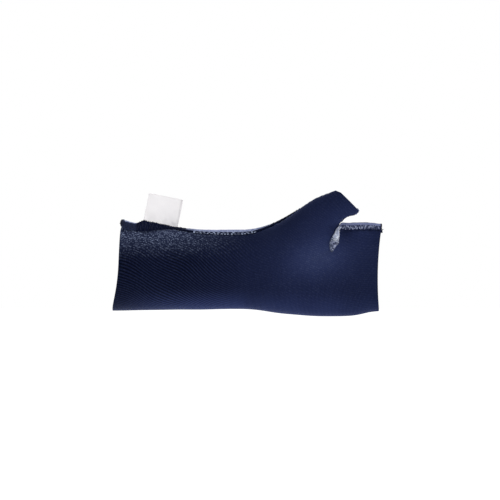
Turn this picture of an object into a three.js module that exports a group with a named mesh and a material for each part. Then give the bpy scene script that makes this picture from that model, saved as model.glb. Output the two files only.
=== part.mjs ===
// Wrist support glove: a stretch-knit sleeve for the left forearm, wrist, palm and thumb, in its worn form.
// One piece of cloth folds round the little-finger side. Overlocked seams close it, their allowances outside:
// along the forearm to the thumb's tip, down the thumb's inner side, and from the web along the index side.
// A folded ribbon label is caught in the first seam.
// Millimetres, from the centre of the wrist: +X to the fingers, +Z to the thumb, -Y to the palm.
import * as THREE from "three";

const WALL = 1.2; // knit cloth
const GAP = 0.35; // between neighbouring pieces
const SMOOTHING = 2; // times that the control cage is subdivided
const SEAM = { thick: 1.5, tail: 1.2, step: 4.5 }; // a tail runs out past a cut edge
const LABEL = { x: -67.8, width: 28.5, height: 22.5, thick: 0.6, turn: 11.5 };
const LABEL_LOOP = { foot: 0.85, fold: 1.7, rows: 7, columns: 6 }; // half depths at the foot and at the fold

// Sleeve sections from the forearm's cut edge to the fingers' cut edge.
// radial and ulnar are the heights of the thumb side and the little-finger side, palm and back the depths.
// square is 2 for an ellipse and more for a boxier section. lean tilts a section, bow draws its faces along.
const SLEEVE = [
  { x: -106, radial: 40, ulnar: -35.8, palm: 31, back: 31, square: 2.1, lean: 0.1, bow: 6 },
  { x: -84, radial: 37.6, ulnar: -35.4, palm: 29.5, back: 29, square: 2.1, lean: 0.06, bow: 2 },
  { x: -60, radial: 34.8, ulnar: -34.8, palm: 27.5, back: 26.5, square: 2.1, lean: 0.03, bow: 0 },
  { x: -34, radial: 32.3, ulnar: -34.3, palm: 25.5, back: 24, square: 2.1, lean: 0, bow: 0 },
  { x: -8, radial: 31.2, ulnar: -33, palm: 24, back: 21.5, square: 2.1, lean: 0, bow: 0 },
  { x: 16, radial: 32.6, ulnar: -34, palm: 24.5, back: 20.5, square: 2.2, lean: 0, bow: 0 },
  { x: 38, radial: 39.5, ulnar: -38, palm: 25.5, back: 20, square: 2.3, lean: -0.05, bow: 0 },
  { x: 60, radial: 41, ulnar: -40, palm: 23.5, back: 19, square: 2.4, lean: 0, bow: 0 },
  { x: 84, radial: 35.5, ulnar: -40.6, palm: 19.5, back: 17.5, square: 2.5, lean: 0.05, bow: 0 },
  { x: 99, radial: 37, ulnar: -40, palm: 17, back: 16.5, square: 2.6, lean: 0, bow: -1 },
  { x: 111, radial: 36.4, ulnar: -35.6, palm: 15.5, back: 15.5, square: 2.6, lean: 0, bow: -2 },
  { x: 120.5, radial: 36, ulnar: -35.2, palm: 14.8, back: 14.8, square: 2.6, lean: 0.03, bow: -4 },
];
const SLEEVE_SIDES = 12;

// The thumb leaves the sleeve between these rows, and these sides counted from the radial side to the palm.
const THUMB_ROOT = { firstRow: 6, lastRow: 8, firstSide: -1, lastSide: 2 };

// Thumb sections up to its cut edge. rise is the angle of a section's axis above the arm, seen from the palm.
// forward turns it to the palm. wide is half the width seen from the palm, deep half the depth.
const THUMB = [
  { x: 68, y: -12, z: 47.4, rise: 44, forward: 22, wide: 14.3, deep: 13.5 },
  { x: 78.6, y: -18, z: 53, rise: 41, forward: 14, wide: 12.8, deep: 12.4 },
  { x: 90.6, y: -24, z: 57.6, rise: 45, forward: -5, wide: 12.6, deep: 11.6 },
];

// Seams by the place of their root, seen from the palm by x and z or from above by x and y.
// wide is the allowance. lean is its angle from the cloth: 0 lies flat, 90 stands up, 180 is turned over.
const ARM_SEAM = [
  { x: -99.5, z: 34.2, wide: 8.3, lean: 72 },
  { x: -95, z: 34, wide: 7, lean: 18 },
  { x: -90, z: 33.6, wide: 7, lean: 18 },
  { x: -84, z: 33, wide: 9.5, lean: 74 },
  { x: -68, z: 33.4, wide: 5.2, lean: 78 },
  { x: -57, z: 32.6, wide: 2.8, lean: 66 },
  { x: -46, z: 31.2, wide: 3.2, lean: 38 },
  { x: -37, z: 30.3, wide: 4.5, lean: 24 },
  { x: -8, z: 29.2, wide: 5, lean: 22 },
  { x: 14, z: 30.4, wide: 5, lean: 22 },
  { x: 30, y: -7, wide: 4.5, lean: 16 },
  { x: 43, y: -4.5, wide: 4.5, lean: 12 },
  { x: 57, y: -5.5, wide: 4.5, lean: 10 },
  { x: 70, y: -11.5, wide: 4.5, lean: 10 },
  { x: 81.4, y: -17.5, wide: 4.5, lean: 12 },
];
const INDEX_SEAM = [
  { x: 77, z: 14.2, wide: 1.2, lean: 164 },
  { x: 75.6, z: 17.2, wide: 4.6, lean: 162 },
  { x: 75.2, z: 21.4, wide: 7.2, lean: 160 },
  { x: 76.2, z: 25.1, wide: 7.4, lean: 158 },
  { x: 79.6, z: 29.8, wide: 4.8, lean: 152 },
  { x: 82.3, z: 33.2, wide: 2.2, lean: 105 },
  { x: 84.3, z: 33.6, wide: 4.8, lean: 62 },
  { x: 87.8, z: 32.9, wide: 6, lean: 46 },
  { x: 107, z: 33, wide: 6, lean: 44 },
  { x: 119.2, z: 32.8, wide: 5.2, lean: 48 },
];
// The seam on the thumb by the place along its sections and the angle from the outer edge to the palm.
const THUMB_SEAM = [
  { section: 1.9, round: 200, wide: 4.5, lean: 25 },
  { section: 1, round: 200, wide: 4.5, lean: 25 },
  { section: 0.35, round: 200, wide: 4, lean: 40 },
];

const degrees = THREE.MathUtils.degToRad;
const lerp = THREE.MathUtils.lerp;
const wrap = (index, count) => (index + count) % count;
const total = (vectors) => vectors.reduce((sum, vector) => sum.add(vector), new THREE.Vector3());
const mean = (vectors) => total(vectors).divideScalar(vectors.length);

// A control ring lies this much outside the smooth section that it gives.
const cageScale = (sides) => 6 / (4 + 2 * Math.cos((2 * Math.PI) / sides));

function sleeveRing({ x, radial, ulnar, palm, back, square, lean, bow }) {
  const height = ((radial - ulnar) / 2) * cageScale(SLEEVE_SIDES);
  const depth = ((palm + back) / 2) * cageScale(SLEEVE_SIDES);
  const rounded = (value) => Math.sign(value) * Math.abs(value) ** (2 / square);
  return Array.from({ length: SLEEVE_SIDES }, (_, side) => {
    const angle = (2 * Math.PI * side) / SLEEVE_SIDES;
    const y = (back - palm) / 2 - depth * rounded(Math.sin(angle));
    const z = (radial + ulnar) / 2 + height * rounded(Math.cos(angle));
    return new THREE.Vector3(x + lean * z + bow * Math.sin(angle) ** 2, y, z);
  });
}

// A point round a thumb section, at an angle from the thumb's outer edge to its palm face.
function thumbDirection({ rise, forward }, angle, wide, deep) {
  const [up, out] = [degrees(rise), degrees(forward)];
  const along = new THREE.Vector3(Math.cos(up) * Math.cos(out), -Math.sin(out), Math.sin(up) * Math.cos(out));
  const outer = new THREE.Vector3(-Math.sin(up), 0, Math.cos(up));
  const palm = along.cross(outer);
  return outer.multiplyScalar(wide * Math.cos(angle)).addScaledVector(palm, deep * Math.sin(angle));
}

function thumbRing(section, sides, firstAngle) {
  const scale = cageScale(sides);
  return Array.from({ length: sides }, (_, side) => {
    const angle = firstAngle + (2 * Math.PI * side) / sides;
    const out = thumbDirection(section, angle, section.wide * scale, section.deep * scale);
    return new THREE.Vector3(section.x, section.y, section.z).add(out);
  });
}

// The control cage: rings of the sleeve, with the thumb's rings standing on the hole that is left for it.
function gloveCage() {
  const rings = SLEEVE.map(sleeveRing);
  const points = [];
  const faces = [];
  const used = new Map();
  const at = (row, side) => {
    const key = row * SLEEVE_SIDES + wrap(side, SLEEVE_SIDES);
    if (!used.has(key)) used.set(key, points.push(rings[row][wrap(side, SLEEVE_SIDES)]) - 1);
    return used.get(key);
  };
  const { firstRow, lastRow, firstSide, lastSide } = THUMB_ROOT;
  for (let row = 0; row < SLEEVE.length - 1; row++) {
    for (let side = firstSide; side < firstSide + SLEEVE_SIDES; side++) {
      const underThumb = row >= firstRow && row < lastRow && side < lastSide;
      if (underThumb) continue;
      faces.push([at(row, side), at(row, side + 1), at(row + 1, side + 1), at(row + 1, side)]);
    }
  }
  let ring = [];
  for (let side = firstSide; side < lastSide; side++) ring.push(at(firstRow, side));
  for (let row = firstRow; row < lastRow; row++) ring.push(at(row, lastSide));
  for (let side = lastSide; side > firstSide; side--) ring.push(at(lastRow, side));
  for (let row = lastRow; row > firstRow; row--) ring.push(at(row, firstSide));
  const firstAngle = (-(lastSide - firstSide) * Math.PI) / ring.length;
  for (const section of THUMB) {
    const next = ring.map((_, side) => points.length + side);
    points.push(...thumbRing(section, ring.length, firstAngle));
    ring.forEach((corner, side) => {
      const after = wrap(side + 1, ring.length);
      faces.push([corner, ring[after], next[after], next[side]]);
    });
    ring = next;
  }
  return { points, faces };
}

// One round of Catmull-Clark subdivision. The edges of the openings stay on curves of their own.
function subdivide({ points, faces }) {
  const facePoints = faces.map((face) => mean(face.map((i) => points[i])));
  const edges = new Map();
  const edgeOf = (a, b) => {
    const key = `${Math.min(a, b)},${Math.max(a, b)}`;
    if (!edges.has(key)) edges.set(key, { ends: [a, b], faces: [], middle: mean([points[a], points[b]]) });
    return edges.get(key);
  };
  const around = points.map(() => ({ faces: [], edges: new Set() }));
  faces.forEach((face, f) => {
    face.forEach((from, i) => {
      const to = face[wrap(i + 1, face.length)];
      const edge = edgeOf(from, to);
      edge.faces.push(f);
      around[from].faces.push(f);
      around[from].edges.add(edge);
      around[to].edges.add(edge);
    });
  });
  const isOpen = (edge) => edge.faces.length === 1;
  const moved = points.map((point, i) => {
    const all = [...around[i].edges];
    const rim = all.filter(isOpen);
    if (rim.length) return mean([point, mean(rim.map((edge) => edge.middle))]);
    return mean(around[i].faces.map((f) => facePoints[f]))
      .addScaledVector(mean(all.map((edge) => edge.middle)), 2)
      .addScaledVector(point, all.length - 3)
      .divideScalar(all.length);
  });
  const edgePoints = [...edges.values()].map((edge, i) => {
    edge.index = points.length + faces.length + i;
    if (isOpen(edge)) return edge.middle;
    return mean([...edge.ends.map((end) => points[end]), ...edge.faces.map((f) => facePoints[f])]);
  });
  const quads = faces.flatMap((face, f) =>
    face.map((corner, i) => {
      const after = edgeOf(corner, face[wrap(i + 1, face.length)]);
      const before = edgeOf(corner, face[wrap(i - 1, face.length)]);
      return [corner, after.index, points.length + f, before.index];
    }),
  );
  return { points: [...moved, ...facePoints, ...edgePoints], faces: quads };
}

function geometryOf({ points, faces }) {
  const geometry = new THREE.BufferGeometry().setFromPoints(points);
  const triangles = (face) => face.slice(2).flatMap((last, i) => [face[0], face[i + 1], last]);
  geometry.setIndex(faces.flatMap(triangles));
  geometry.computeVertexNormals();
  return geometry;
}

// A closed wall inside an open surface, with a rim round each opening.
function wallOf({ points, faces }, thick) {
  const normals = geometryOf({ points, faces }).getAttribute("normal");
  const inward = (i) => new THREE.Vector3().fromBufferAttribute(normals, i).multiplyScalar(-thick);
  const inner = points.map((point, i) => point.clone().add(inward(i)));
  const count = points.length;
  const inside = faces.map((face) => face.map((i) => i + count).reverse());
  const sides = faces.flatMap((face) => face.map((from, i) => [from, face[wrap(i + 1, face.length)]]));
  const known = new Set(sides.map(String));
  const rim = sides
    .filter(([from, to]) => !known.has(`${to},${from}`))
    .map(([from, to]) => [to, from, from + count, to + count]);
  return geometryOf({ points: [...points, ...inner], faces: [...faces, ...inside, ...rim] });
}

// Faces of a grid of points, row by row.
function gridFaces(rows, columns, isRing) {
  const faces = [];
  for (let row = 0; row < rows - 1; row++) {
    for (let i = 0; i < columns - (isRing ? 0 : 1); i++) {
      const [a, b] = [row * columns + i, row * columns + wrap(i + 1, columns)];
      faces.push([a, b, b + columns, a + columns]);
    }
  }
  return faces;
}

// A closed solid through sections with equal numbers of points.
function loftOf(sections) {
  const count = sections[0].length;
  const first = sections[0].map((_, i) => i);
  const last = first.map((i) => (sections.length - 1) * count + i);
  const faces = [...gridFaces(sections.length, count, true), first.reverse(), last];
  return geometryOf({ points: sections.flat(), faces });
}

let skin = gloveCage();
for (let round = 0; round < SMOOTHING; round++) skin = subdivide(skin);
const skinMesh = new THREE.Mesh(geometryOf(skin), new THREE.MeshBasicMaterial({ side: THREE.DoubleSide }));

// The first point of the cloth on a line, with the cloth's direction that faces back along the line.
function clothOn(from, towards) {
  const [hit] = new THREE.Raycaster(from, towards.clone().normalize()).intersectObject(skinMesh);
  return { point: hit.point, normal: hit.normal };
}

function seenFromPalm(row) {
  return { ...row, ...clothOn(new THREE.Vector3(row.x, -200, row.z), new THREE.Vector3(0, 1, 0)) };
}

function seenFromAbove(row) {
  return { ...row, ...clothOn(new THREE.Vector3(row.x, row.y, 200), new THREE.Vector3(0, 0, -1)) };
}

function seenFromThumbAxis(row) {
  const from = Math.floor(row.section);
  const share = row.section - from;
  const between = (key) => lerp(THUMB[from][key], THUMB[from + 1][key], share);
  const axes = { rise: between("rise"), forward: between("forward") };
  const centre = new THREE.Vector3(between("x"), between("y"), between("z"));
  const { point, normal } = clothOn(centre, thumbDirection(axes, degrees(row.round), 1, 1));
  return { ...row, point, normal: normal.negate() };
}

// Frames along a seam's root: a place on the cloth, directions along the seam, over the cloth and out of it.
function seamFrames(rows) {
  const curve = new THREE.CatmullRomCurve3(rows.map((row) => row.point), false, "centripetal");
  const frameAt = (i, share) => {
    const [before, after] = [rows[i], rows[Math.min(i + 1, rows.length - 1)]];
    const at = (i + share) / (rows.length - 1);
    const out = before.normal.clone().lerp(after.normal, share).normalize();
    const { point } = clothOn(curve.getPoint(at).addScaledVector(out, 5), out.clone().negate());
    const along = curve.getTangent(at);
    const over = out.clone().cross(along).normalize();
    const wide = lerp(before.wide, after.wide, share);
    const lean = degrees(lerp(before.lean, after.lean, share));
    return { point, along, over, out: along.clone().cross(over), wide, lean };
  };
  const frames = rows.slice(1).flatMap((row, i) => {
    const steps = Math.max(1, Math.round(rows[i].point.distanceTo(row.point) / SEAM.step));
    return Array.from({ length: steps }, (_, step) => frameAt(i, step / steps));
  });
  return [...frames, frameAt(rows.length - 1, 0)];
}

// Points of a seam allowance at distances back from its free edge, or at its root, and out to its two faces.
function seamPoints({ point, over, out, wide, lean }, places) {
  const half = SEAM.thick / 2;
  const across = over.clone().multiplyScalar(Math.cos(lean)).addScaledVector(out, Math.sin(lean));
  const through = out.clone().multiplyScalar(Math.cos(lean)).addScaledVector(over, -Math.sin(lean));
  const root = point.clone().addScaledVector(out, GAP + half * Math.abs(Math.cos(lean)));
  return places.map(([back, side]) => {
    const reach = back === null ? 0 : wide - back * half;
    return root.clone().addScaledVector(across, reach).addScaledVector(through, side * half);
  });
}

function seamOf(frames, hasStartTail, hasEndTail) {
  const moved = (frame, by) => ({ ...frame, point: frame.point.clone().addScaledVector(frame.along, by) });
  const start = hasStartTail ? [moved(frames[0], -SEAM.tail)] : [];
  const end = hasEndTail ? [moved(frames.at(-1), SEAM.tail)] : [];
  const outline = [[null, -1], [1, -1], [0.3, -0.7], [0, 0], [0.3, 0.7], [1, 1], [null, 1]];
  return loftOf([...start, ...frames, ...end].map((frame) => seamPoints(frame, outline)));
}

// The label stands on the free edge of the seam: two layers that part towards the fold at the top.
function labelOf(frames) {
  const turn = degrees(LABEL.turn);
  const along = new THREE.Vector3(Math.cos(turn), 0, -Math.sin(turn));
  const up = new THREE.Vector3(Math.sin(turn), 0, Math.cos(turn));
  const edges = frames.flatMap((frame) => seamPoints(frame, [[0, 0]]));
  const below = edges.filter((edge) => Math.abs(edge.x - LABEL.x) < LABEL.width * 0.55);
  const foot = mean(below);
  foot.addScaledVector(along, (LABEL.x - foot.x) / along.x);
  foot.addScaledVector(up, GAP + Math.max(...below.map((edge) => edge.clone().sub(foot).dot(up))));
  const { fold, rows, columns } = LABEL_LOOP;
  const shoulder = LABEL.height - fold;
  const front = Array.from({ length: rows }, (_, row) => {
    const share = row / rows;
    return [-lerp(LABEL_LOOP.foot, fold, THREE.MathUtils.smoothstep(share, 0, 1)), share * shoulder];
  });
  const bend = [180, 144, 108, 72, 36, 0].map((angle) => {
    return [fold * Math.cos(degrees(angle)), shoulder + fold * Math.sin(degrees(angle))];
  });
  const section = [...front, ...bend, ...front.map(([depth, height]) => [-depth, height]).reverse()];
  const points = section.flatMap(([depth, height]) =>
    Array.from({ length: columns + 1 }, (_, column) => {
      const aside = (column / columns - 0.5) * LABEL.width;
      const point = foot.clone().addScaledVector(along, aside).addScaledVector(up, height);
      return point.setY(foot.y + depth);
    }),
  );
  return wallOf({ points, faces: gridFaces(section.length, columns + 1, false) }, LABEL.thick);
}

const seen = (row) => ("y" in row ? seenFromAbove(row) : seenFromPalm(row));
const armFrames = seamFrames(ARM_SEAM.map(seen));
const indexFrames = seamFrames(INDEX_SEAM.map(seen));
const thumbFrames = seamFrames(THUMB_SEAM.map(seenFromThumbAxis));

const knit = { roughness: 0.62, metalness: 0 };
const pieces = {
  glove_body: [wallOf(skin, WALL), { color: 0x1b2348, ...knit }],
  arm_seam: [seamOf(armFrames, true, true), { color: 0x232c55, ...knit }],
  thumb_seam: [seamOf(thumbFrames, true, false), { color: 0x232c55, ...knit }],
  index_seam: [seamOf(indexFrames, false, true), { color: 0x3a4468, ...knit }],
  label: [labelOf(armFrames), { color: 0xeceef2, roughness: 0.5, metalness: 0 }],
};

const glove = new THREE.Group();
for (const [name, [geometry, look]] of Object.entries(pieces)) {
  const mesh = new THREE.Mesh(geometry, new THREE.MeshStandardMaterial(look));
  mesh.name = name;
  glove.add(mesh);
}

export default glove;
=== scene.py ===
import math
import random
from bisect import bisect_right

import bmesh
import bpy
from mathutils import Matrix, Vector, kdtree, noise
from mathutils.bvhtree import BVHTree


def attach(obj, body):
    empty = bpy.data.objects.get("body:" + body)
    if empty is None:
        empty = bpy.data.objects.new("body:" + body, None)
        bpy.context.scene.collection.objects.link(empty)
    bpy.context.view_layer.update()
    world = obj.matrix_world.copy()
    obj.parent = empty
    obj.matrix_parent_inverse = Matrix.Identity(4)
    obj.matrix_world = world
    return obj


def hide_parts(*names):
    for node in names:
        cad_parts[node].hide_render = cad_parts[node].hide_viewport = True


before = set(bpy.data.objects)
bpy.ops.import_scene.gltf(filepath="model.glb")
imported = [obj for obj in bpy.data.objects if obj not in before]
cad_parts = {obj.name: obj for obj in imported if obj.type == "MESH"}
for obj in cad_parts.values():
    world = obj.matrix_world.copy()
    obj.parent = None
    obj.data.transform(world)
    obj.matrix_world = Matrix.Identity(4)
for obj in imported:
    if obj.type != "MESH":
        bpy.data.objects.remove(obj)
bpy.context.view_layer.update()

mm = 0.001
scene = bpy.context.scene
dice = random.Random(11)


class Wire:  # a node socket that sums can be written with
    def __init__(self, tree, socket=None):
        self.tree = tree
        self.socket = socket

    def node(self, kind, settings=None, sockets=None, out=0):
        made = self.tree.nodes.new("ShaderNode" + kind)
        for name, value in (settings or {}).items():
            setattr(made, name, value)
        for name, value in (sockets or {}).items():
            if isinstance(value, Wire):
                self.tree.links.new(value.socket, made.inputs[name])
            else:
                made.inputs[name].default_value = value
        return Wire(self.tree, made.outputs[out] if made.outputs else None)

    def part(self, name):  # another output of the same node
        return Wire(self.tree, self.socket.node.outputs[name])

    def sums(self, operation, *terms):
        return self.node("Math", {"operation": operation}, dict(enumerate(terms)))

    def __add__(self, other):
        return self.sums("ADD", self, other)

    def __sub__(self, other):
        return self.sums("SUBTRACT", self, other)

    def __rsub__(self, other):
        return self.sums("SUBTRACT", other, self)

    def __mul__(self, other):
        return self.sums("MULTIPLY", self, other)

    def __truediv__(self, other):
        return self.sums("DIVIDE", self, other)

    def __pow__(self, other):
        return self.sums("POWER", self, other)

    __radd__ = __add__
    __rmul__ = __mul__

    def fract(self):
        return self.sums("FRACT", self)

    def floor(self):
        return self.sums("FLOOR", self)

    def size(self):
        return self.sums("ABSOLUTE", self)

    def wave(self):  # 0 to 1, once for each whole number
        return self.sums("COSINE", self * (2 * math.pi)) * 0.5 + 0.5

    def rise(self, low, high):  # 0 below low, 1 above high
        spread = {"Value": self, "From Min": low, "From Max": high}
        return self.node("MapRange", {"interpolation_type": "SMOOTHSTEP"}, spread)

    def grow(self, share, low, high):  # 0 below low, the share above high
        return self.rise(low, high) * share

    def tint(self, dark, light):  # colour between two, by this value
        return self.node("Mix", {"data_type": "RGBA"}, {0: self, 6: dark, 7: light}, 2)

    def times(self, factor):  # this colour, darker or lighter
        return self.node("VectorMath", {"operation": "SCALE"}, {0: self, "Scale": factor})

    def bump(self, strength, distance):
        return self.node("Bump", None, {"Height": self, "Strength": strength, "Distance": distance})


def startLook(name):
    material = bpy.data.materials.new(name)
    material.use_nodes = True
    material.node_tree.nodes.clear()
    return material, Wire(material.node_tree)


def shade(wire, sockets):
    shader = wire.node("BsdfPrincipled", None, sockets)
    wire.node("OutputMaterial", None, {"Surface": shader})


def newPiece(name, mesh, looks):
    piece = bpy.data.objects.new(name, mesh)
    scene.collection.objects.link(piece)
    for look in looks:
        mesh.materials.append(look)
    mesh.polygons.foreach_set("use_smooth", [True] * len(mesh.polygons))
    return piece


def meshOf(bm, name):
    mesh = bpy.data.meshes.new(name)
    bm.to_mesh(mesh)
    bm.free()
    return mesh


def modify(piece, kind, **settings):
    modifier = piece.modifiers.new(kind.title(), kind)
    for name, value in settings.items():
        setattr(modifier, name, value)


def smoother(piece, levels):
    modify(piece, "SUBSURF", levels=levels, render_levels=levels)


# camera, straight at the palm side
camera = {"across": 430 * mm, "away": 0.9, "x": 8.6 * mm, "z": 16.3 * mm, "sensor": 36}

lens = bpy.data.cameras.new("camera")
lens.sensor_width = camera["sensor"]
lens.lens = camera["sensor"] * camera["away"] / camera["across"]
eye = bpy.data.objects.new("camera", lens)
eye.location = (camera["x"], -camera["away"], camera["z"])
eye.rotation_euler = (math.radians(90), 0, 0)
scene.collection.objects.link(eye)
scene.camera = eye
print("camera set")


# fine stretch knit: columns of small V loops along the arm
knit = {
    "wale": 1.15 * mm,
    "course": 1.05 * mm,
    "slant": 0.9,
    "twill": 2.3 * mm,
    "dash": 0.95 * mm,
    "grooveShade": (0.0022, 0.0034, 0.0125, 1),
    "yarn": (0.009, 0.0129, 0.0378, 1),
    "glint": (0.2, 0.243, 0.37, 1),
    "paintedSheen": (0.0245, 0.0325, 0.071, 1),
    "inside": (0.03, 0.037, 0.075, 1),
    "cut": (0.12, 0.15, 0.26, 1),
    "sheen": (0.3, 0.42, 1, 1),
    "density": 1.09,  # refraction of matt yarn
    "relief": 0.2 * mm,
}
# painted light and shade on the knit, and its tone, in metres: an oval is its middle, reach and tilt, a span
# goes from none to all
paintedLightAndTone = {
    "back": (-0.004, 0.014),  # span in depth
    # painted highlight over the ball of the thumb
    "thumbBallHighlight": ((0.0675, 0.0105), (0.032, 0.0215), 0.22),
    "paintedLight": [  # more places painted lighter, as lit: share and oval
        (0.5, (0.085, 0.046), (0.03, 0.022)),  # thumb
        (0.35, (0.1, 0.025), (0.026, 0.02)),  # palm below the index seam
        (0.4, (0.101, 0.031), (0.02, 0.006)),  # along that seam, painted light lifting the shade under its allowance
    ],
    "palm": (0.52, -0.06, 0.03),  # share and span, from the forearm to the palm
    "lower": (-0.037, -0.014),  # the glove's lower side, and how much painted light from the lit table below it gets along the arm
    "lowerLight": [(1.9, -0.11, -0.03), (-1.05, -0.004, 0.012), (-0.5, 0.07, 0.118)],
    "even": (1.28, -0.045, 0.025),  # the twill lines fade towards the palm
    "dimEdge": (0.25, -0.112, -0.075),  # forearm's edge
    # where the overhead light's painted shine and glints lie on the upper forearm: spans up and along
    "topShineUp": (0.006, 0.04),
    "topShineAlong": (-0.066, 0.014),
    "paleCut": (0.85, -0.098, -0.08),  # the cut is pale at the forearm's edge alone
}


def objectPlace(wire):
    place = wire.node("TexCoord", None, None, "Object")
    return wire.node("SeparateXYZ", None, {0: place})


def patches(wire, scale, detail=2):
    place = wire.node("TexCoord", None, None, "Object")
    return wire.node("TexNoise", None, {"Vector": place, "Scale": scale, "Detail": detail})


def oval(x, z, middle, reach, tilt=0):  # 1 in the middle, fading softly out, seen from the palm
    x = x - middle[0]
    z = z - x * tilt - middle[1]
    return ((x / reach[0]) ** 2 + (z / reach[1]) ** 2 + 1) ** -2


def chanceIn(wire, row, column):  # one random value for each whole number of both
    cell = wire.node("CombineXYZ", None, {0: row.floor(), 1: column.floor()})
    return wire.node("TexWhiteNoise", {"noise_dimensions": "2D"}, {"Vector": cell})


def knitLoops(wire):
    flat = wire.node("UVMap", {"uv_map": "cloth"})
    along = wire.node("SeparateXYZ", None, {0: flat})
    across = along.part("Y")
    wale = across / knit["wale"]
    aside = (wale.fract() - 0.5).size()
    course = along / knit["course"] + aside * knit["slant"]
    height = course.wave() * (1 - (aside * 2) ** 4)
    return height, chanceIn(wire, wale, course), along, across


def matt(sheen):  # dull yarn with a blue bloom at grazing angles
    return {
        "IOR": knit["density"],
        "Specular Tint": knit["sheen"],
        "Sheen Weight": sheen,
        "Sheen Roughness": 0.35,
        "Sheen Tint": knit["sheen"],
    }


def knitLook():
    material, wire = startLook("navyKnit")
    height, _, along, across = knitLoops(wire)
    line = (along * 0.5 + across + patches(wire, 15, 1) * 0.03) / knit["twill"]
    twill = line.wave()
    grain = chanceIn(wire, line * 3 + 0.5, (along - across * 0.5) / knit["dash"])
    x = objectPlace(wire)
    z = x.part("Z")
    front = 1 - x.part("Y").rise(*paintedLightAndTone["back"])
    # painted highlight over the ball of the thumb, on the palm side alone
    swell = oval(x, z, *paintedLightAndTone["thumbBallHighlight"]) * front
    # painted light: the thumb highlight, more on the thumb and beside the index seam, and on the lower side
    # as lit from the table below; lighter towards the palm
    paintedLight = swell * 2.6 + x.grow(*paintedLightAndTone["palm"])
    paintedLight = sum((oval(x, z, *place) * share for share, *place in paintedLightAndTone["paintedLight"]), paintedLight)
    lowerLight = sum((x.grow(*step) for step in paintedLightAndTone["lowerLight"]), 0.25)
    paintedLight = paintedLight + (1 - z.rise(*paintedLightAndTone["lower"])) * lowerLight
    lined = (twill - 0.5) * (1.4 - x.grow(*paintedLightAndTone["even"])) + 1
    lined = lined * (x.grow(*paintedLightAndTone["dimEdge"]) + 0.75)
    # painted shine of the overhead light on the upper forearm, on the palm side alone
    topShine = front * z.rise(*paintedLightAndTone["topShineUp"]) * (1 - x.rise(*paintedLightAndTone["topShineAlong"]))
    topShine = topShine * (patches(wire, 40) * 0.5 + 0.6)
    # painted glints of the overhead light on single loops, mostly on the upper forearm
    spark = grain.rise(0.55, 1) * (topShine * 0.85 + swell * 0.03 + 0.015) * (twill * 1.1 + 0.5)
    # painted shade darkens the grooves between the loops
    base = (height * 0.8 + patches(wire, 30) * 0.4 - 0.1).tint(knit["grooveShade"], knit["yarn"])
    # painted sheen over the lit upper forearm and the ball of the thumb
    base = (topShine * 0.88 + swell * swell * 0.5).tint(base.times((paintedLight + 0.78) * lined), knit["paintedSheen"])
    shade(wire, {
        "Base Color": spark.tint(base, knit["glint"]),
        "Roughness": 0.62 - spark * 0.2,
        "Normal": height.bump(0.5, knit["relief"]),
        **matt(0.16),
    })
    return material


def insideLook():
    material, wire = startLook("knitReverse")
    height, chance, _, _ = knitLoops(wire)
    fleck = patches(wire, 900, 1)
    # loop tops paler, the grooves between them painted darker as shade
    base = (height * 0.3 + chance * 0.3 + fleck * 0.4).tint(knit["yarn"], knit["inside"])
    shade(wire, {
        "Base Color": base,
        "Roughness": 0.85,
        "Normal": (fleck + height * 0.5).bump(0.4, 0.25 * mm),
        **matt(0.1),
    })
    return material


def cutLook():
    material, wire = startLook("cutEdge")
    fibre = patches(wire, 2200, 2)
    pale = 1 - objectPlace(wire).grow(*paintedLightAndTone["paleCut"])
    shade(wire, {
        "Base Color": (fibre.rise(0.3, 0.6) * pale).tint(knit["yarn"], knit["cut"]),
        "Roughness": 0.9,
        "Normal": fibre.bump(0.6, 0.15 * mm),
        **matt(0.1),
    })
    return material


# sewn seams
seamMake = {
    "thick": 1.5 * mm, "step": 0.8 * mm, "sunk": 0.5 * mm, "tail": 0.8 * mm,
    "uneven": 0.25 * mm, "unevenEvery": 3.5 * mm, "evenRounds": 4,
    "seek": 4 * mm,  # how far off the cloth a root is looked for
    "far": 200,  # mm, well outside the glove
}
# a seam's roots in mm: y is None where a root is seen from the palm, z where it is seen from above
# then the allowance and its angle from the cloth, over 90 where it is turned over
armRows = [
    ((-98.6, None, 33.4), 8.8, 72), ((-94, None, 32.8), 7.9, 36), ((-87.4, None, 32.3), 7, 30),
    ((-80.8, None, 32), 10.4, 74), ((-74, None, 33), 7.7, 76), ((-66, None, 34), 4.8, 78),
    ((-57, None, 34.1), 2.5, 74), ((-48, None, 32.6), 2.6, 42), ((-37, None, 30.6), 4, 24),
    ((-8, None, 29.2), 5.3, 22), ((10, None, 30.2), 4.8, 20), ((21, -8.2, None), 4.3, 12),
    ((30, -5.8, None), 4.3, 8), ((43, -3.8, None), 4.4, 6), ((57, -5, None), 4.4, 6),
    ((70, -11, None), 4.4, 6), ((79.4, -16.6, None), 4.4, 10),
]
thumbRows = [((96.4, -18.4, 46), 4.5, 25), ((88.9, -13.6, 44.1), 4.5, 25), ((85, -9.5, 40.3), 1.4, 15)]
indexRows = [
    ((77, None, 14.2), 1.2, 164), ((75.6, None, 17.2), 4.9, 162), ((75.2, None, 21.4), 7.5, 160),
    ((76.1, None, 25.1), 8, 158), ((79, None, 29.8), 5.5, 152), ((82, None, 33.6), 2.6, 105),
    ((84.3, None, 34.2), 4.8, 62), ((87.8, None, 33.7), 6.2, 46), ((107, None, 33.8), 6.2, 44),
    ((119.2, None, 33.5), 5.3, 48),
]


def onCloth(cloth, place):
    x, y, z = place
    if y is None:
        return cloth.ray_cast(Vector((x, -seamMake["far"], z)) * mm, Vector((0, 1, 0)))[:2]
    if z is None:
        return cloth.ray_cast(Vector((x, y, seamMake["far"])) * mm, Vector((0, 0, -1)))[:2]
    return cloth.find_nearest(Vector(place) * mm)[:2]


def between(points, i, share):  # smooth curve through points
    a, b, c, d = (points[max(0, min(len(points) - 1, j))] for j in range(i - 1, i + 3))
    bend = (2 * a - 5 * b + 4 * c - d) * share + (3 * b - a - 3 * c + d) * share * share
    return b + ((c - a) + bend) * (share / 2)


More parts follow.
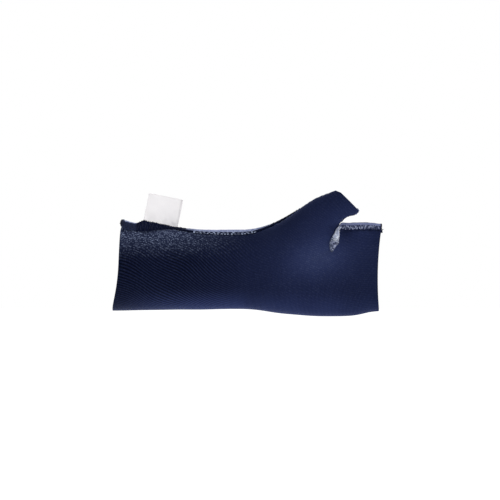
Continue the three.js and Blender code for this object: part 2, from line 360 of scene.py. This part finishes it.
def followSeam(rows, cloth, tails):
    roots = [onCloth(cloth, row[0]) for row in rows]
    spots = []
    for i in range(len(rows) - 1):
        count = max(2, round((roots[i + 1][0] - roots[i][0]).length / seamMake["step"]))
        for k in range(count + (i == len(rows) - 2)):
            share = k / count
            ease = share * share * (3 - 2 * share)
            out = roots[i][1].lerp(roots[i + 1][1], share).normalized()
            point = between([root[0] for root in roots], i, share)
            point = cloth.ray_cast(point + out * seamMake["seek"], -out, 2 * seamMake["seek"])[0] or point
            wide, lean = ((1 - ease) * rows[i][n] + ease * rows[i + 1][n] for n in (1, 2))
            spots.append((point, out, wide * mm, math.radians(lean)))
    frames = []
    travelled = 0
    for i, (point, out, wide, lean) in enumerate(spots):
        before, after = spots[max(0, i - 1)][0], spots[min(len(spots) - 1, i + 1)][0]
        along = (after - before).normalized()
        over = out.cross(along).normalized()
        out = along.cross(over)
        travelled += (point - before).length
        frames.append({
            "at": travelled,
            "root": point + out * (seamMake["thick"] / 2 * abs(math.cos(lean)) - seamMake["sunk"]),
            "along": along,
            "reach": over * math.cos(lean) + out * math.sin(lean),
            "wide": wide,
            "cloth": point,
        })
    tips = [f["root"] + f["reach"] * f["wide"] for f in frames]
    for _ in range(seamMake["evenRounds"]):  # the free edge runs evenly
        tips[1:-1] = [(a + b + c) / 3 for a, b, c in zip(tips, tips[1:], tips[2:])]
    for f, tip in zip(frames, tips):
        f["wide"] = (tip - f["root"]).length
        f["reach"] = (tip - f["root"]).normalized()
        f["face"] = f["along"].cross(f["reach"]).normalized()
    for end, side in ((0, -1), (-1, 1)):
        if side in tails:  # the seam runs out past the cut edge
            last = frames[end]
            tail = dict(last, root=last["root"] + last["along"] * seamMake["tail"] * side)
            tail["at"] += seamMake["tail"] * side
            frames.insert(0 if side < 0 else len(frames), tail)
    return frames


def seamPoint(frames, at, across, lift):  # across as a share of the allowance, lift out of its middle
    i = min(max(bisect_right(frames, at, key=lambda f: f["at"]) - 1, 0), len(frames) - 2)
    a, b = frames[i], frames[i + 1]
    share = (at - a["at"]) / max(b["at"] - a["at"], 1e-9)
    one, two = (f["root"] + f["reach"] * (f["wide"] * across) + f["face"] * lift for f in (a, b))
    return one.lerp(two, share)


# knit cloth of the glove
cloth = {
    "wall": 1.2 * mm, "smooth": 2, "bevel": 0.35 * mm, "bevelAngle": 60,
    "merge": 0.001 * mm, "turnAngle": 50, "quadAngle": 60,
    "fold": (-0.08, 0.08), "foldNear": 4 * mm,  # the cut lies along the fold between these places
}


def clothSkin():  # outer side of the cloth alone, in quads
    bm = bmesh.new()
    bm.from_mesh(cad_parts["glove_body"].data)
    bmesh.ops.remove_doubles(bm, verts=bm.verts, dist=cloth["merge"])
    lowest = min(bm.faces, key=lambda face: face.calc_center_median().z)
    skin, fresh = {lowest}, [lowest]
    while fresh:
        for edge in fresh.pop().edges:
            if edge.calc_face_angle(0) < math.radians(cloth["turnAngle"]):
                found = [face for face in edge.link_faces if face not in skin]
                skin.update(found)
                fresh.extend(found)
    bmesh.ops.delete(bm, geom=[face for face in bm.faces if face not in skin], context="FACES")
    turn = math.radians(cloth["quadAngle"])
    bmesh.ops.join_triangles(bm, faces=bm.faces, angle_face_threshold=turn, angle_shape_threshold=turn)
    return bm


def markCut(bm, points):  # the cloth's cut line along edges near these points, from one opening to another
    rim = [v for v in bm.verts if v.is_boundary]
    near = lambda verts, point: min(verts, key=lambda v: (v.co - point).length)
    stops = [near(rim, points[0]), *(near(bm.verts, p) for p in points[1:-1]), near(rim, points[-1])]
    here = stops[0]
    for stop in stops[1:]:
        while here is not stop:
            edge = min(here.link_edges, key=lambda e: (e.other_vert(here).co - stop.co).length)
            edge.seam = True
            here = edge.other_vert(here)


def layFlat(piece):  # the cloth's flat cut as its UV map, in metres, with U along the arm
    bpy.context.view_layer.objects.active = piece
    bpy.ops.object.mode_set(mode="EDIT")
    bpy.ops.mesh.select_all(action="SELECT")
    bpy.ops.uv.unwrap(method="ANGLE_BASED", margin=0)
    bpy.ops.object.mode_set(mode="OBJECT")
    mesh = piece.data
    uv = mesh.uv_layers.active
    uv.name = "cloth"
    spots = {loop.vertex_index: uv.data[loop.index].uv.copy() for loop in mesh.loops}
    fold = []
    for x in cloth["fold"]:
        near = [v for v in mesh.vertices if abs(v.co.x - x) < cloth["foldNear"]]
        fold.append(min(near, key=lambda v: v.co.z))
    line = spots[fold[1].index] - spots[fold[0].index]
    scale = (fold[1].co - fold[0].co).length / line.length
    turn = Matrix.Rotation(math.atan2(line.y, line.x), 2).inverted() * scale
    for spot in uv.data:
        spot.uv = turn @ (spot.uv - spots[fold[0].index])


def clothPlan(piece):  # width, length and area of the flat cut
    mesh = piece.data
    uv = mesh.uv_layers["cloth"].data
    us, vs = zip(*(spot.uv for spot in uv))
    area = 0
    for face in mesh.polygons:
        corners = [uv[i].uv for i in face.loop_indices]
        area += abs(sum(a.cross(b) for a, b in zip(corners, corners[1:] + corners[:1]))) / 2
    return max(vs) - min(vs), max(us) - min(us), area


# where the worn cloth is drawn out of its even form: place, reach and pull in mm
tugs = [
    ((81.5, -10, 38), 7.5, (4, 0, -0.2)),  # the web beside the thumb
    ((99.6, -20, 49.5), 9, (-0.2, 0, -1.6)),  # lower corner of the thumb's edge
    ((-101, -8, 34), 8, (1.8, 0, 0)),  # upper corner of the forearm's edge
    ((-104, -24, 14), 18, (-1.1, 0, 0)),  # middle of the forearm's edge
    ((-14, 0, -33), 36, (0, 0, -0.9)),  # under the wrist
    ((32, 0, -38), 15, (0, 0, -0.8)),  # heel of the palm
    ((114, 0, -33), 13, (0, 0, -0.8)),  # lower corner of the palm's edge
]


def tugCloth(bm):
    for place, reach, pull in tugs:
        for v in bm.verts:
            away = (v.co / mm - Vector(place)).length / reach
            v.co += Vector(pull) * (mm * math.exp(-away * away))


bm = clothSkin()
coarse = BVHTree.FromBMesh(bm)
armPath, thumbPath, indexPath = (
    [onCloth(coarse, row[0])[0] for row in rows] for rows in (armRows, thumbRows, indexRows))
markCut(bm, armPath)
markCut(bm, thumbPath + indexPath[6:])
glove = newPiece("gloveKnit", meshOf(bm, "gloveKnit"), [knitLook(), insideLook(), cutLook()])
layFlat(glove)
print("flat cut", [round(size, 4) for size in clothPlan(glove)])

smoother(glove, cloth["smooth"])
fine = bpy.data.meshes.new_from_object(glove.evaluated_get(bpy.context.evaluated_depsgraph_get()))
glove.modifiers.clear()
glove.data = fine
bm = bmesh.new()
bm.from_mesh(fine)
tugCloth(bm)
skinTree = BVHTree.FromBMesh(bm)
armFrames = followSeam(armRows, skinTree, (1,))
thumbFrames = followSeam(thumbRows, skinTree, (-1,))
indexFrames = followSeam(indexRows, skinTree, (1,))

# the thumb's edge is cut straight when it is seen from the palm, with a blunt upper corner
thumbCut = {
    "lines": [((80.4, 66.2), (85.5, 64.2)), ((85, 64.4), (97.6, 51.3))],  # mm across and up
    "depth": -22,  # mm
    "right": 70 * mm, "above": 44 * mm,  # the thumb alone
}


def trimThumb(bm):
    for corners in thumbCut["lines"]:
        toward = [Vector((x, thumbCut["depth"], z)) * mm - eye.location for x, z in corners]
        onThumb = lambda v: v.co.x > thumbCut["right"] and v.co.z > thumbCut["above"]
        outer = [face for face in bm.faces if all(onThumb(v) for v in face.verts)]
        parts = {part for face in outer for part in (*face.verts, *face.edges, face)}
        across = toward[1].cross(toward[0]).normalized()
        bmesh.ops.bisect_plane(bm, geom=list(parts), plane_co=eye.location, plane_no=across, clear_outer=True)


pucker = {
    "reach": 6 * mm, "height": 0.3 * mm, "every": 5.5 * mm, "wander": 0.6, "wanderScale": 90,
    "pull": 0.35 * mm, "pullReach": 2 * mm,
}
drift = {"height": 0.22 * mm, "size": 26 * mm}


def shapeCloth(bm):  # puckers beside the seams and the slight unevenness of worn cloth
    seamFrames = armFrames + thumbFrames + indexFrames
    tree = kdtree.KDTree(len(seamFrames))
    for i, f in enumerate(seamFrames):
        tree.insert(f["cloth"], i)
    tree.balance()
    bm.normal_update()
    moves = []
    for v in bm.verts:
        _, i, away = tree.find(v.co)
        at = seamFrames[i]["at"] / pucker["every"]
        at += pucker["wander"] * noise.noise(v.co * pucker["wanderScale"])
        ripple = math.sin(2 * math.pi * at)
        move = pucker["height"] * ripple * math.exp(-(away / pucker["reach"]) ** 2)
        move -= pucker["pull"] * math.exp(-(away / pucker["pullReach"]) ** 2)
        move += drift["height"] * noise.noise(v.co / drift["size"])
        moves.append(v.normal * move)
    for v, move in zip(bm.verts, moves):
        v.co += move


trimThumb(bm)
shapeCloth(bm)
bm.to_mesh(fine)
bm.free()
modify(glove, "SOLIDIFY", thickness=cloth["wall"], offset=-1, use_even_offset=True,
       material_offset=1, material_offset_rim=2)
modify(glove, "BEVEL", width=cloth["bevel"], segments=2, limit_method="ANGLE",
       angle_limit=math.radians(cloth["bevelAngle"]), material=2)
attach(glove, "root")
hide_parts("glove_body")
print("glove cloth:", len(glove.data.polygons), "faces on its outer side")


# seam allowances: two layers of cloth, with the edges of both showing
flap = {
    "notch": 0.97, "edge": 0.55, "shoulder": 0.93,  # shares of the allowance and its thickness
    "wide": 6 * mm,
    "onThumb": (0.0385, 0.0405),  # spans in height, in metres
    "webSheen": (0.0115, 0.02),
    "webLit": (0.0115, 0.024),
    "webPale": (0.021, 0.03),
    "webHigh": (0.0235, 0.03),
    "webStart": (0.07, 0.074),  # spans along the arm
    "indexStart": (0.083, 0.0855),
    "wristStart": (-0.05, -0.036),
    "wristEnd": (0.01, 0.032),
    "armStart": (-0.089, -0.086),
    # painted light on the allowances: lit strips along the free edges, a white highlight on the web, the lit
    # index allowance, a grey sheen on the web and a light rim
    "wristStrip": (0.3, 0.34, 0.52, 1),
    "webStrip": (0.28, 0.3, 0.41, 1),
    "webWhite": (0.8, 0.83, 0.9, 1),
    "indexStrip": (0.165, 0.19, 0.33, 1),
    "indexLitCloth": (0.018, 0.024, 0.07, 1),
    "webSheenGrey": (0.18, 0.22, 0.32, 1),
    "rim": (0.28, 0.32, 0.5, 1),
}


def flapLook():
    material, wire = startLook("seamCloth")
    height, chance, _, across = knitLoops(wire)
    across = across / flap["wide"]
    x = objectPlace(wire)
    z = x.part("Z")
    below = 1 - z.rise(*flap["onThumb"])
    index = x.rise(*flap["indexStart"]) * below
    web = x.rise(*flap["webStart"]) * (1 - x.rise(*flap["indexStart"])) * below
    wrist = x.rise(*flap["wristStart"]) * (1 - x.rise(*flap["wristEnd"]))
    start = 1 - x.rise(*flap["armStart"])
    rough = patches(wire, 900)
    sheenSpeckle = patches(wire, 1800, 1).rise(0.36, 0.66)
    # painted shade darkens the grooves between the loops
    base = (height * 0.4 + chance * 0.2 + 0.15).tint(knit["grooveShade"], knit["yarn"])
    # painted grey sheen, speckled, on the web's allowance higher up
    base = (web * sheenSpeckle * z.rise(*flap["webSheen"])).tint(base, flap["webSheenGrey"])
    # the index allowance painted lighter, as lit from above, with patches of its lit strip colour
    base = (index * 0.8).tint(base, flap["indexLitCloth"])
    base = (index * rough.rise(0.4, 0.65) * 0.2).tint(base, flap["indexStrip"])
    # painted soft highlight, and a painted light rim along the free edge, at the forearm end
    base = (start * (rough * 0.6 + 0.3)).tint(base, knit["paintedSheen"])
    base = (across.rise(0.84, 0.92) * start).tint(base, flap["rim"])
    # painted highlight: the web's strip turns white higher up
    light = z.rise(*flap["webPale"]).tint(flap["webStrip"], flap["webWhite"])
    strip = index.tint(web.tint(flap["wristStrip"], light), flap["indexStrip"])
    high = z.rise(*flap["webHigh"])
    free = (sheenSpeckle * 0.7 + high * 0.4 + 0.06) * z.rise(*flap["webLit"])  # painted light on the free edge, where it faces the overhead light
    free = (across + high * 0.5).rise(0.3, 0.75) * web * free
    free = free + across.rise(0.34, 0.54) * wrist * (rough * 0.5 + 0.75)
    free = free + across.rise(0.52, 0.74) * index * (rough * 0.6 + 0.65)
    shade(wire, {
        "Base Color": free.tint(base, strip),
        "Roughness": 0.75,
        "Normal": (height + rough).bump(0.5, knit["relief"]),
        **matt(0.08),
    })
    return material


def frameMatrix(f):
    half = seamMake["thick"] / 2
    uneven = noise.noise(Vector((f["at"] / seamMake["unevenEvery"], 0, 0))) * seamMake["uneven"]
    reach = f["reach"] * (f["wide"] + uneven)
    spin = Matrix((reach, f["face"] * half, f["along"])).transposed().to_4x4()
    return Matrix.Translation(f["root"]) @ spin


def pullEdges(bm, edges):  # the new vertices and edges of a line of edges that is extruded
    made = bmesh.ops.extrude_edge_only(bm, edges=edges)["geom"]
    verts = [item for item in made if isinstance(item, bmesh.types.BMVert)]
    edges = [e for e in made if isinstance(e, bmesh.types.BMEdge) and all(v in verts for v in e.verts)]
    return verts, edges


def makeFlap(name, node, frames, look):
    side = [(0, 1), (0.3, 1), (0.62, 1), (flap["shoulder"], 1), (1, flap["edge"])]
    section = side + [(flap["notch"], 0)] + [(across, -lift) for across, lift in reversed(side)]
    bm = bmesh.new()
    atLayer = bm.verts.layers.float.new("at")
    acrossLayer = bm.verts.layers.float.new("across")
    ring = []
    for across, lift in section:
        v = bm.verts.new(frameMatrix(frames[0]) @ Vector((across, lift, 0)))
        v[atLayer] = frames[0]["at"]
        v[acrossLayer] = across
        ring.append(v)
    edges = [bm.edges.new(pair) for pair in zip(ring, ring[1:] + ring[:1])]
    for last, f in zip(frames, frames[1:]):
        verts, edges = pullEdges(bm, edges)
        bmesh.ops.transform(bm, matrix=frameMatrix(f) @ frameMatrix(last).inverted(), verts=verts)
        for v in verts:
            v[atLayer] = f["at"]
    bmesh.ops.holes_fill(bm, edges=bm.edges, sides=len(section))
    bmesh.ops.recalc_face_normals(bm, faces=bm.faces)
    uv = bm.loops.layers.uv.new("cloth")
    for face in bm.faces:
        for loop in face.loops:
            loop[uv].uv = (loop.vert[atLayer], loop.vert[acrossLayer] * flap["wide"])
    piece = newPiece(name, meshOf(bm, name), [look])
    smoother(piece, 1)
    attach(piece, "root")
    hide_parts(node)
    return piece


seamCloth = flapLook()
armFlap = makeFlap("armFlap", "arm_seam", armFrames, seamCloth)
thumbFlap = makeFlap("thumbFlap", "thumb_seam", thumbFrames, seamCloth)
indexFlap = makeFlap("indexFlap", "index_seam", indexFrames, seamCloth)
print("three seam allowances")


# overlock and needle threads
thread = {
    "thick": 0.21 * mm,
    "pitch": 3.1 * mm,
    "wrapPitch": 1.7 * mm,
    "wrapReach": 0.72,
    "wind": 7,  # points in each turn round a seam's end
    "windPitch": 0.5 * mm,
    "forearm": -86 * mm,  # where each stretch starts, or starts and ends, along the arm
    "wrist": (-46 * mm, 27 * mm),
    "needle": (-40 * mm, 15 * mm),
    "web": 77.5 * mm,
    "index": 84 * mm,
    # the overlock thread is one thread throughout, drawn in lit and shaded copies: painted shade on the
    # forearm and thumb, painted light on the wrist, patchy painted light and shade on the index, a painted
    # highlight on the web
    "shaded": (0.09, 0.105, 0.17, 1),
    "pale": (0.5, 0.59, 0.82, 1),
    "navy": (0.004, 0.006, 0.02, 1),
    "navyLit": (0.012, 0.017, 0.05, 1),
    "grey": (0.016, 0.022, 0.06, 1),
    "greyLit": (0.39, 0.435, 0.62, 1),
    "blue": (0.12, 0.15, 0.3, 1),
    "blueLit": (0.4, 0.45, 0.62, 1),
    "white": (0.82, 0.87, 0.96, 1),
}


def threadLook(name, dark, light):
    material, wire = startLook(name)
    fibre = patches(wire, 1700, 2)
    worn = patches(wire, 420, 1)
    shade(wire, {
        "Base Color": (fibre * 0.4 + worn.rise(0.42, 0.62) * 0.75 - 0.1).tint(dark, light),
        "Roughness": 0.65,
        "Specular IOR Level": 0.2,
        "Normal": fibre.bump(0.5, 0.12 * mm),
    })
    return material


def makeThreads(name, paths, look, thick=thread["thick"]):
    curve = bpy.data.curves.new(name, "CURVE")
    curve.dimensions = "3D"
    curve.bevel_depth = thick
    curve.bevel_resolution = 1
    curve.use_fill_caps = True
    for path in paths:
        spline = curve.splines.new("POLY")
        spline.points.add(len(path) - 1)
        for spot, place in zip(spline.points, path):
            spot.co = (*place, 1)
            spot.radius = dice.uniform(0.6, 1.3)
    drawn = bpy.data.objects.new(name, curve)
    scene.collection.objects.link(drawn)
    mesh = bpy.data.meshes.new_from_object(drawn.evaluated_get(bpy.context.evaluated_depsgraph_get()))
    bpy.data.objects.remove(drawn)
    mesh.materials.clear()
    piece = newPiece(name, mesh, [look])
    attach(piece, "root")
    return piece


def loopPath(frames, start, end, pitch, side, low, high):  # a looper thread on one face of the allowance
    lift = seamMake["thick"] / 2 + thread["thick"] * 0.5
    turn = [(0, 0), (0.16, 0.4), (0.3, 0.85), (0.46, 1), (0.6, 0.82), (0.72, 0.4), (0.88, 0.04)]
    path = []
    for stitch in range(int((end - start) / pitch)):
        tall = high - low + dice.uniform(-0.14, 0.06)
        loose = dice.uniform(-0.2, 0.2)
        for share, up in turn:
            at = start + (stitch + share + loose * up) * pitch
            path.append(seamPoint(frames, at, low + tall * up, side * lift * dice.uniform(0.95, 1.25)))
    return path


def bothFaces(frames, start, end, pitch, low, high):
    return [loopPath(frames, start, end, pitch, side, low, high) for side in (1, -1)]


def wrapPath(frames, start, end):  # a thread laid over the free edge, once a stitch
    pitch, reach = thread["wrapPitch"], thread["wrapReach"]
    lift = seamMake["thick"] / 2 + thread["thick"] * 0.6
    turn = [(reach, 1), (0.94, 1), (1.03, 0.5), (1.03, -0.5), (0.94, -1), (reach, -1)]
    path = []
    for stitch in range(int((end - start) / pitch)):
        loose = dice.uniform(-0.15, 0.15)
        way = turn if stitch % 2 == 0 else turn[::-1]
        for i, (across, side) in enumerate(way):
            at = start + (stitch + i / len(turn) + loose) * pitch
            path.append(seamPoint(frames, at, across + dice.uniform(-0.03, 0.01), side * lift))
    return path


def needlePaths(frames, start, end, pitch, across):  # short straight stitches beside the root
    paths = []
    lift = seamMake["thick"] / 2
    for stitch in range(int((end - start) / pitch)):
        first = start + stitch * pitch + dice.uniform(-0.12, 0.12) * pitch
        aside = across + dice.uniform(-0.03, 0.03)
        bumps = [(0, 0.6), (0.12, 1.25), (0.36, 1.4), (0.5, 0.6)]
        paths.append([seamPoint(frames, first + s * pitch, aside, lift * up) for s, up in bumps])
    return paths


def woundPath(f, end, low, high, wide):  # thread wound round the end of a seam
    long = f["wide"] * (high - low)
    count = thread["wind"] * max(2, round(long / thread["windPitch"]))
    path = []
    for k in range(count):
        turn = math.pi * 2 * k / thread["wind"]
        swell = wide * dice.uniform(0.7, 1.1)
        ring = f["along"] * (end * (math.cos(turn) + 0.5)) + f["face"] * (math.sin(turn) * 0.8)
        path.append(f["root"] + f["reach"] * (f["wide"] * low + long * k / count) + ring * swell)
    return path


def loosePath(start, way, droop, long):  # a loose end of thread
    return [start + way * (long * t) + droop * (long * t * t) for t in (-0.3, 0, 0.3, 0.6, 0.85, 1)]


def whenAt(frames, x):  # distance along a seam where its root passes x
    return next(f["at"] for f in frames if f["cloth"].x > x)


# lit and shaded copies of the same overlock thread: painted shade, light and highlight
paleThread = threadLook("paleThread", thread["shaded"], thread["pale"])
shadedThread = threadLook("shadedThread", thread["navy"], thread["navyLit"])
partLitThread = threadLook("partLitThread", thread["grey"], thread["greyLit"])
highlightThread = threadLook("highlightThread", thread["blueLit"], thread["white"])
litThread = threadLook("litThread", thread["blue"], thread["blueLit"])
pitch = thread["pitch"]
wristStart, wristEnd = (whenAt(armFrames, x) for x in thread["wrist"])
needleStart, needleEnd = (whenAt(armFrames, x) for x in thread["needle"])
forearmStart = whenAt(armFrames, thread["forearm"])
webStart, indexStart = (whenAt(indexFrames, thread[name]) for name in ("web", "index"))
armStart, armEnd = armFrames[0], armFrames[-1]
thumbStart, thumbEnd, indexEnd = thumbFrames[0], thumbFrames[-1], indexFrames[-1]
forearm = [wrapPath(armFrames, forearmStart, wristStart)]
forearm += bothFaces(armFrames, armStart["at"], wristStart, pitch, 0.12, 0.75)
overThumb = [wrapPath(armFrames, wristEnd, armEnd["at"])]
overThumb += bothFaces(armFrames, wristEnd, armEnd["at"], pitch, 0.12, 0.8)
inThumb = bothFaces(thumbFrames, 0, thumbEnd["at"], pitch, 0.1, 0.8)
wrist = bothFaces(armFrames, wristStart, wristEnd, 2.2 * mm, 0.42, 0.85)
needle = needlePaths(armFrames, needleStart, needleEnd, 2.9 * mm, -0.02)
needle += needlePaths(armFrames, needleStart, needleEnd, 4.1 * mm, 0.22)
web = bothFaces(indexFrames, 11 * mm, indexStart, 1.7 * mm, 0.08, 0.95)
web += bothFaces(indexFrames, webStart, indexStart, 0.85 * mm, 0.05, 0.92)
index = bothFaces(indexFrames, indexStart, indexEnd["at"], 3.3 * mm, 0.04, 0.55)
index += bothFaces(indexFrames, indexStart, indexEnd["at"], 2.1 * mm, 0.1, 0.66)
index += bothFaces(indexFrames, 1.5 * mm, 12 * mm, 1.2 * mm, 0.06, 0.94)  # up to the web
darkEnds = [woundPath(armStart, -1, 0.4, 1, 1.8 * mm), woundPath(indexEnd, 1, 0.15, 1, 0.7 * mm)]
darkEnds += [woundPath(armStart, -1, 0.4, 1, 0.9 * mm), woundPath(indexEnd, 1, -0.45, 0.15, 1 * mm)]
darkEnds += [loosePath(indexEnd["root"], indexEnd["along"], Vector((0, 0, 0.2)), 2.4 * mm)]
paleEnds = [woundPath(armStart, 1, 0.85, 1.08, 0.5 * mm), woundPath(armEnd, 1, 0.1, 0.6, 0.6 * mm)]
paleEnds += [woundPath(thumbStart, -1, 0.05, 0.6, 0.95 * mm)]
corner = dict(thumbStart, root=Vector((99.3, -21.5, 48.9)) * mm, reach=Vector((-0.3, 0, 0.95)), wide=2 * mm)
paleEnds += [woundPath(corner, -1, 0, 1, 0.75 * mm)]
threads = [
    makeThreads("forearmOverlock", forearm, shadedThread),
    makeThreads("overThumbOverlock", overThumb, shadedThread),
    makeThreads("inThumbOverlock", inThumb, shadedThread),
    makeThreads("wristOverlock", wrist, litThread, 0.17 * mm),
    makeThreads("wristNeedle", needle, paleThread, 0.29 * mm),
    makeThreads("webOverlock", web, highlightThread, 0.16 * mm),
    makeThreads("indexOverlock", index, partLitThread, 0.19 * mm),
    makeThreads("darkThreadEnds", darkEnds, shadedThread, 0.3 * mm),
    makeThreads("paleThreadEnds", paleEnds, litThread, 0.24 * mm),
]
print("threads:", len(threads), "pieces")


# folded ribbon label caught in the arm seam, bare
label = {
    "x": -67.2 * mm, "width": 28 * mm, "height": 23.4 * mm, "turn": 11.5, "skew": 0.9 * mm,
    "thick": 0.25 * mm, "fold": 0.65 * mm, "tuck": 2.6 * mm, "columns": 18,
    # rows of a leaf: height in mm and share of the fold, and angles round the fold
    "rows": [(-0.1, 0.35), (1.5, 0.6), (3.5, 0.75), (6, 0.9), (9, 1), (13, 1.1), (17, 1.05)],
    "tucked": 0.2, "foldAngles": (0.7, 1.57, 2.44),
    "slack": 0.5 * mm, "ripple": 0.35 * mm, "rippleScale": 110,
    "crumple": 2.4 * mm, "crumpleAt": 3.5 * mm, "crumpleReach": 2.5 * mm, "crumpleScale": (280, 160),
    "backLeaf": 50 * mm,  # how far off it lies in the weave
    "white": (0.83, 0.815, 0.825, 1), "shadow": (0.72, 0.7, 0.72, 1), "weave": 0.35 * mm,
}


def ribbonLook():
    material, wire = startLook("satinRibbon")
    flat = wire.node("UVMap", {"uv_map": "cloth"})
    across = wire.node("SeparateXYZ", None, {0: flat})
    warp = (across / label["weave"]).wave()
    weft = (across.part("Y") / (label["weave"] * 0.8)).wave()
    cloudy = patches(wire, 120, 3)
    shade(wire, {
        "Base Color": (warp * 0.4 + weft * 0.2 + cloudy * 0.5).tint(label["shadow"], label["white"]),
        "Roughness": 0.42 + cloudy * 0.15,
        "Sheen Weight": 0.1,
        "Normal": (warp * 0.6 + weft * 0.4).bump(0.25, 0.08 * mm),
    })
    return material


def makeLabel():
    turn = math.radians(label["turn"])
    along = Vector((math.cos(turn), 0, -math.sin(turn)))
    up = Vector((math.sin(turn), 0, math.cos(turn)))
    edgeOf = lambda f: f["root"] + f["reach"] * f["wide"]
    below = [f for f in armFrames if abs(edgeOf(f).x - label["x"]) < label["width"] * 0.55]
    foot = sum((edgeOf(f) for f in below), Vector()) / len(below)
    foot += along * ((label["x"] - foot.x) / along.x)
    foot += up * max((edgeOf(f) - foot).dot(up) for f in below)
    fold = label["fold"]
    top = label["height"] - fold
    rows = [(-label["tuck"], label["tucked"]), *((h * mm, share) for h, share in label["rows"]), (top, 1)]
    front = [(-fold * share, h) for h, share in rows]
    bend = [(-fold * math.cos(a), top + fold * math.sin(a)) for a in label["foldAngles"]]
    path = front + bend + [(-depth, height) for depth, height in reversed(front)]
    bm = bmesh.new()
    first = foot - along * label["width"] / 2
    line = [bm.verts.new(first + up * height + Vector((0, depth, 0))) for depth, height in path]
    edges = [bm.edges.new(pair) for pair in zip(line, line[1:])]
    stepAside = along * (label["width"] / label["columns"])
    for _ in range(label["columns"]):
        verts, edges = pullEdges(bm, edges)
        bmesh.ops.translate(bm, vec=stepAside, verts=verts)
    bmesh.ops.recalc_face_normals(bm, faces=bm.faces)
    uv = bm.loops.layers.uv.new("cloth")
    for face in bm.faces:
        for loop in face.loops:
            spot = loop.vert.co - foot
            loop[uv].uv = (spot.dot(along), spot.dot(up) + (spot.y > 0) * label["backLeaf"])
    for v in bm.verts:  # caught between the layers of the seam, folded a little askew, with a slack front
        spot = v.co - foot
        height, aside, depth = spot.dot(up), spot.dot(along) / label["width"], spot.y
        caught = min(below, key=lambda f: abs(edgeOf(f).x - v.co.x))
        if height < 0:
            v.co = edgeOf(caught) + caught["reach"] * height + caught["face"] * -depth
            continue
        free = min(1, height / label["height"])
        v.co += along * label["skew"] * max(-1, min(1, depth / fold)) * free ** 0.3
        v.co.y += (edgeOf(caught).y - foot.y) * (1 - free) ** 2
        ripple = label["ripple"] * noise.noise(v.co * label["rippleScale"])
        v.co.y += (label["slack"] * math.sin(aside * 5 + 1) + ripple) * free
        crease = math.exp(-((height - label["crumpleAt"]) / label["crumpleReach"]) ** 2)  # near the seam
        scales = label["crumpleScale"]
        folds = noise.noise(Vector((spot.dot(along) * scales[0], height * scales[1], 7)))
        v.co.y += label["crumple"] * crease * folds
    piece = newPiece("ribbonLabel", meshOf(bm, "ribbonLabel"), [ribbonLook()])
    modify(piece, "SOLIDIFY", thickness=label["thick"], offset=0)
    smoother(piece, 2)
    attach(piece, "root")
    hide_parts("label")
    return piece


ribbon = makeLabel()
print("ribbon label")


# white studio: a lit table below and soft light from above and in front
studio = {
    "floor": -0.26, "size": 8, "glow": 0.9, "ambient": 0.25,
    "grey": (0.86, 0.86, 0.86, 1), "pale": (0.9, 0.9, 0.9, 1), "white": (1, 1, 1, 1),
    "aim": (0.01, 0, 0.01),
    "lights": {  # place, breadth and power
        "overhead": ((-0.1, -0.2, 1.1), 1.0, 7),
        "front": ((0.35, -1.1, 0.35), 0.8, 4),
        "behind": ((0.2, 0.9, 0.5), 0.8, 3),
    },
}


def floorLook():
    material, wire = startLook("studioFloor")
    shade(wire, {
        "Base Color": patches(wire, 2).tint(studio["grey"], studio["pale"]),
        "Roughness": 0.8,
        "Emission Color": studio["white"],
        "Emission Strength": studio["glow"],
    })
    return material


def softLight(name, place, size, power):
    light = bpy.data.lights.new(name, "AREA")
    light.shape = "DISK"
    light.size = size
    light.energy = power
    lamp = bpy.data.objects.new(name, light)
    lamp.location = place
    lamp.rotation_euler = (Vector(studio["aim"]) - Vector(place)).to_track_quat("-Z", "Y").to_euler()
    scene.collection.objects.link(lamp)


bm = bmesh.new()
bmesh.ops.create_grid(bm, x_segments=4, y_segments=4, size=studio["size"] / 2)
bmesh.ops.translate(bm, vec=(0, 0, studio["floor"]), verts=bm.verts)
floor = newPiece("studioFloor", meshOf(bm, "studioFloor"), [floorLook()])
for name, light in studio["lights"].items():
    softLight(name, *light)

world = bpy.data.worlds.new("studio")
scene.world = world
world.use_nodes = True
world.node_tree.nodes.clear()
sky = Wire(world.node_tree)
seen = sky.node("LightPath", None, None, "Is Camera Ray")
strength = seen * (1 - studio["ambient"]) + studio["ambient"]
glow = sky.node("Background", None, {"Color": studio["white"], "Strength": strength})
sky.node("OutputWorld", None, {"Surface": glow})
scene.view_settings.view_transform = "Standard"
print("studio set")
